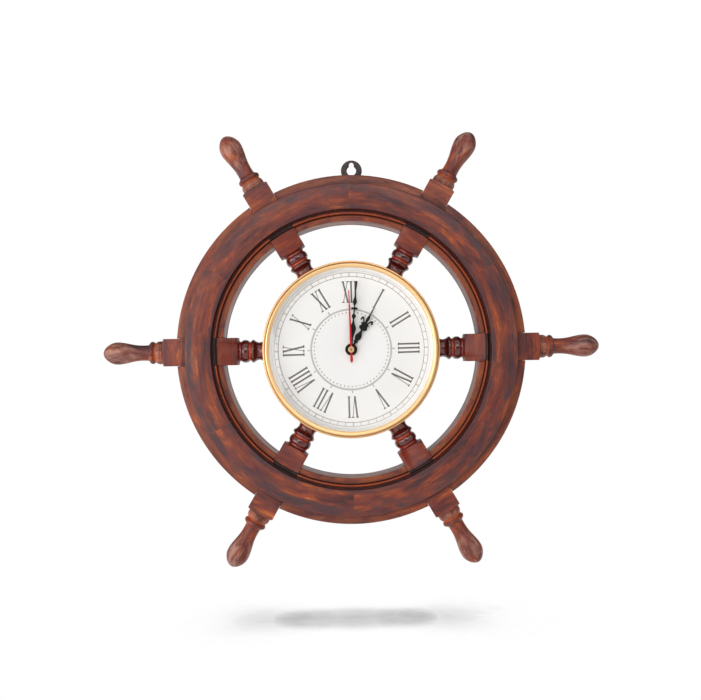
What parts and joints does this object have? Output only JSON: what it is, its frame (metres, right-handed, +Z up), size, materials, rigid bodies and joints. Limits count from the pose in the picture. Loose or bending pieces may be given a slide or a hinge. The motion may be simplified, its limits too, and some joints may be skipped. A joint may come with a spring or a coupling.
{
  "type": "ship wheel clock",
  "caption": "Wall clock built as a wooden ship's wheel with turned spokes, and a quartz dial in a brass case at its hub.",
  "frame": {"origin": "centre of the overall box, on the wheel's axis, half-way from the bezel's front to the hanger's back", "axes": "+X to the right seen from the front, +Y backwards to the wall, +Z up"},
  "size_m": [0.4572, 0.0552, 0.3978],
  "materials": {
    "rim_wood": "stained and varnished, with brushed streaks",
    "spoke_wood": "stained and varnished, turned",
    "brass": "polished and lacquered",
    "black_metal": "blackened",
    "dial_white": "matt white print ground",
    "spacer_white": "satin moulded",
    "clear_glass": "polished mineral glass",
    "hand_black": "semi-gloss",
    "hand_red": "semi-gloss",
    "black_plastic": "fine spark-eroded",
    "gear_plastic": "natural acetal",
    "steel": "bright drawn",
    "copper_winding": "enamelled wire",
    "soft_iron": "annealed",
    "board_green": "solder mask",
    "battery_jacket": "plain printed sleeve",
    "rubber": "moulded"
  },
  "bodies": {
    "root": {"spoke_1": "spoke_wood", "front_rim_1": "rim_wood", "felloe_1": "rim_wood", "rear_rim_1": "rim_wood", "spoke_2": "spoke_wood", "front_rim_2": "rim_wood", "felloe_2": "rim_wood", "rear_rim_2": "rim_wood", "spoke_3": "spoke_wood", "front_rim_3": "rim_wood", "felloe_3": "rim_wood", "rear_rim_3": "rim_wood", "spoke_4": "spoke_wood", "front_rim_4": "rim_wood", "felloe_4": "rim_wood", "rear_rim_4": "rim_wood", "spoke_5": "spoke_wood", "front_rim_5": "rim_wood", "felloe_5": "rim_wood", "rear_rim_5": "rim_wood", "spoke_6": "spoke_wood", "front_rim_6": "rim_wood", "felloe_6": "rim_wood", "rear_rim_6": "rim_wood", "hub": "rim_wood", "hanger_plate": "black_metal", "hanger_screw_1": "brass", "hanger_screw_2": "brass", "case_pan": "brass", "dial": "dial_white", "spacer_ring": "spacer_white", "hex_nut": "brass", "rubber_washer": "rubber", "movement_shell": "black_plastic", "rear_cover": "black_plastic", "train_bridge": "black_plastic", "contact_positive": "steel", "contact_negative": "steel", "coil": "copper_winding", "coil_core": "soft_iron", "stator": "soft_iron", "circuit_board": "board_green", "quartz_crystal": "steel"},
    "bezel_and_glass": {"bezel": "brass", "glass": "clear_glass"},
    "minute_arbor": {"minute_hand": "hand_black", "cannon_pinion": "steel"},
    "hour_pipe": {"hour_hand": "hand_black", "hour_wheel": "brass"},
    "reverser": {"reverser_wheel": "gear_plastic"},
    "knob": {"setting_knob": "black_plastic"},
    "second_arbor": {"second_wheel": "steel", "second_hand": "hand_red", "centre_cap": "brass"},
    "third": {"third_wheel": "gear_plastic"},
    "centre": {"centre_wheel": "brass"},
    "fifth": {"fifth_wheel": "gear_plastic"},
    "step_rotor": {"rotor": "soft_iron"},
    "cell": {"battery": "battery_jacket"}
  },
  "joints": [
    {"name": "minute_spin", "type": "hinge", "parent": "root", "child": "minute_arbor", "pos_m": [0, 0, 0], "axis": [0, 1, 0], "continuous": true},
    {"name": "reverser_spin", "type": "hinge", "parent": "root", "child": "reverser", "pos_m": [0.00762, 0, 0.0044], "axis": [0, 1, 0], "continuous": true},
    {"name": "hour_spin", "type": "hinge", "parent": "root", "child": "hour_pipe", "pos_m": [0, 0, 0], "axis": [0, 1, 0], "continuous": true},
    {"name": "knob_spin", "type": "hinge", "parent": "root", "child": "knob", "pos_m": [0.01202, 0, -0.00322], "axis": [0, 1, 0], "continuous": true},
    {"name": "second_spin", "type": "hinge", "parent": "root", "child": "second_arbor", "pos_m": [0, 0, 0], "axis": [0, 1, 0], "continuous": true},
    {"name": "third_spin", "type": "hinge", "parent": "root", "child": "third", "pos_m": [-0.00883, 0, 0.0051], "axis": [0, 1, 0], "continuous": true},
    {"name": "centre_spin", "type": "hinge", "parent": "root", "child": "centre", "pos_m": [0, 0, 0], "axis": [0, 1, 0], "continuous": true},
    {"name": "fifth_spin", "type": "hinge", "parent": "root", "child": "fifth", "pos_m": [0.0042, 0, 0.00727], "axis": [0, 1, 0], "continuous": true},
    {"name": "rotor_spin", "type": "hinge", "parent": "root", "child": "step_rotor", "pos_m": [0.00295, 0, 0.01437], "axis": [0, 1, 0], "continuous": true},
    {"name": "battery_slide", "type": "slide", "parent": "root", "child": "cell", "axis": [0, 1, 0], "range_m": [0, 0.03]},
    {"name": "bezel_pull", "type": "slide", "parent": "root", "child": "bezel_and_glass", "axis": [0, -1, 0], "range_m": [0, 0.03]}
  ],
  "couplings": [
    {"joint": "reverser_spin", "follows": "minute_spin", "ratio": -0.33333},
    {"joint": "hour_spin", "follows": "minute_spin", "ratio": 0.083333},
    {"joint": "knob_spin", "follows": "minute_spin", "ratio": 1},
    {"joint": "third_spin", "follows": "second_spin", "ratio": -0.13333},
    {"joint": "centre_spin", "follows": "second_spin", "ratio": 0.016667},
    {"joint": "fifth_spin", "follows": "second_spin", "ratio": -6},
    {"joint": "rotor_spin", "follows": "second_spin", "ratio": 30}
  ]
}
